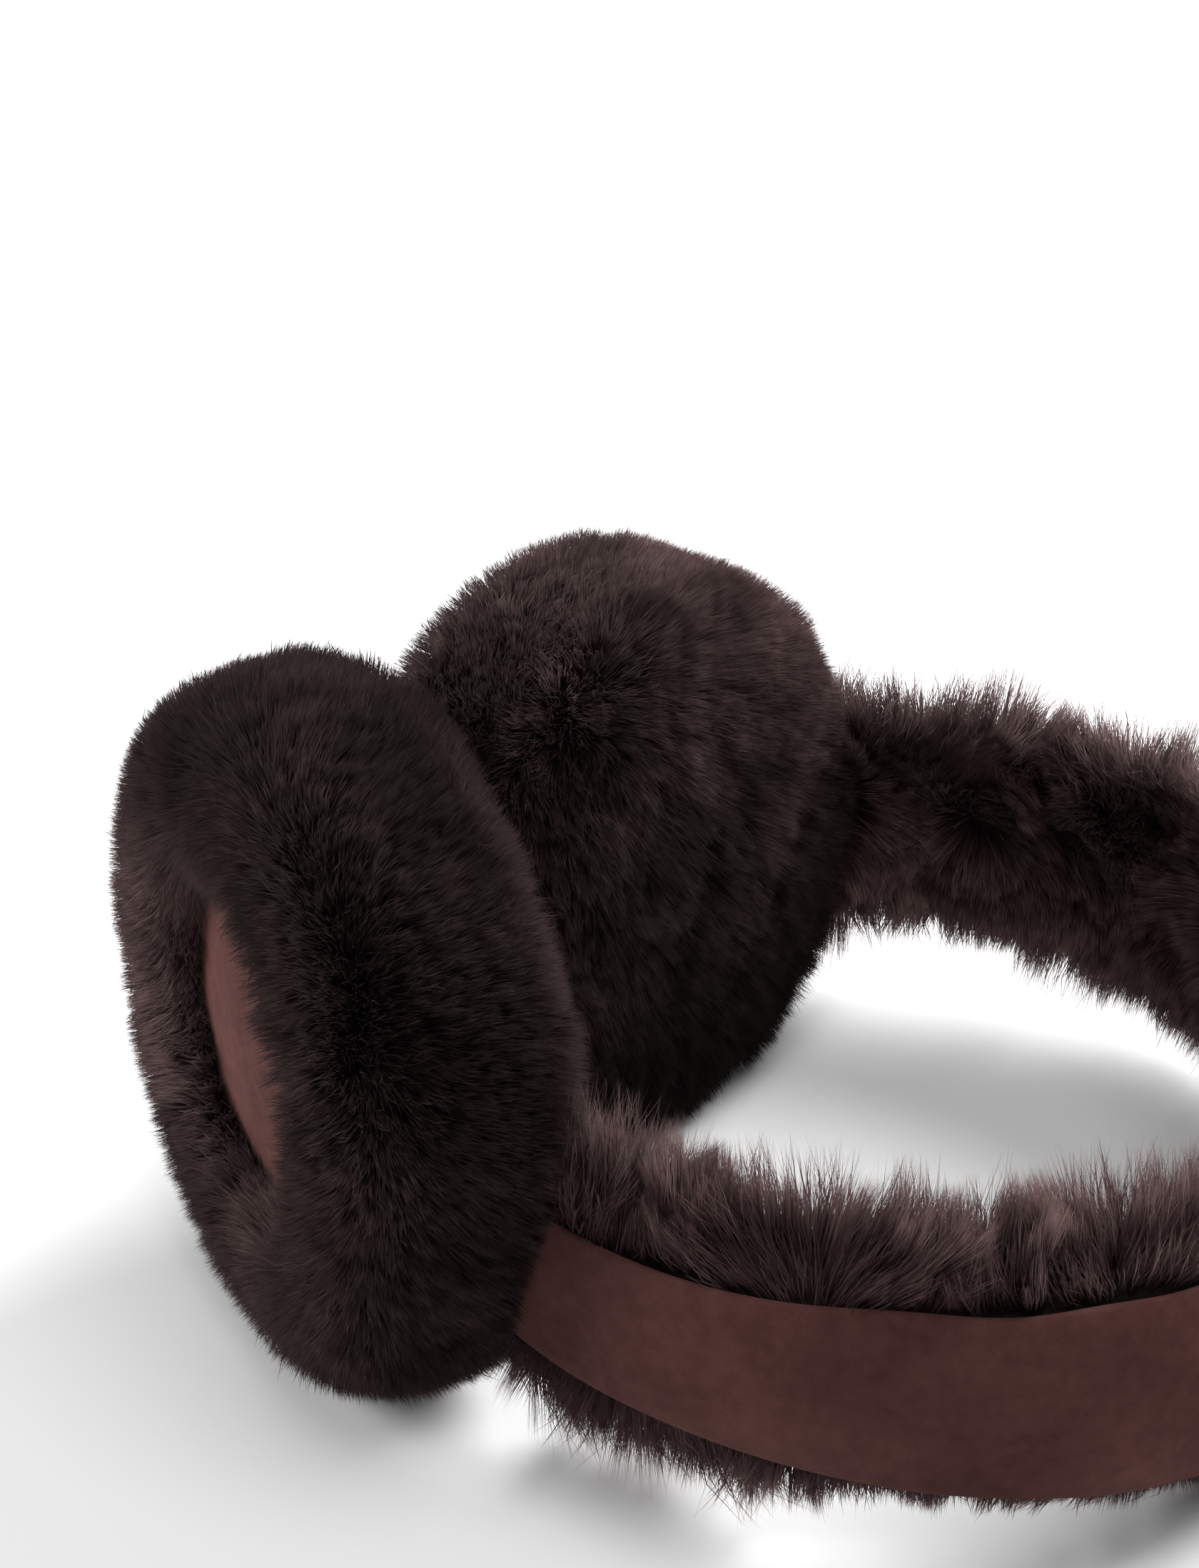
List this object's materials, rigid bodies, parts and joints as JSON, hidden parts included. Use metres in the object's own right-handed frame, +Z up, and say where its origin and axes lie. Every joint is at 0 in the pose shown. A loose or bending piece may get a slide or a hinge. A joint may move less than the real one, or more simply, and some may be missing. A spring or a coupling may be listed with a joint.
{
  "type": "fur earmuffs",
  "caption": "Fur earmuffs lying on their side: sprung headband with suede outside and deep fur inside, and round fur cups with a sunk suede disc.",
  "frame": {"origin": "middle of the underside of the whole box, on the surface that the earmuffs lie on", "axes": "+X from the cups to the crown of the headband, +Y towards the right cup, +Z up from the surface"},
  "size_m": [0.1906, 0.158, 0.1008],
  "materials": {
    "suede": "napped suede, matt",
    "fur": "dense sheepskin pile, brown-black with paler tips"
  },
  "bodies": {
    "root": {"band_cover": "suede", "band_lining": "fur", "left_fur_ring": "fur", "left_fur_pad": "fur", "left_suede_disc": "suede", "right_fur_ring": "fur", "right_fur_pad": "fur", "right_suede_disc": "suede"}
  },
  "joints": []
}
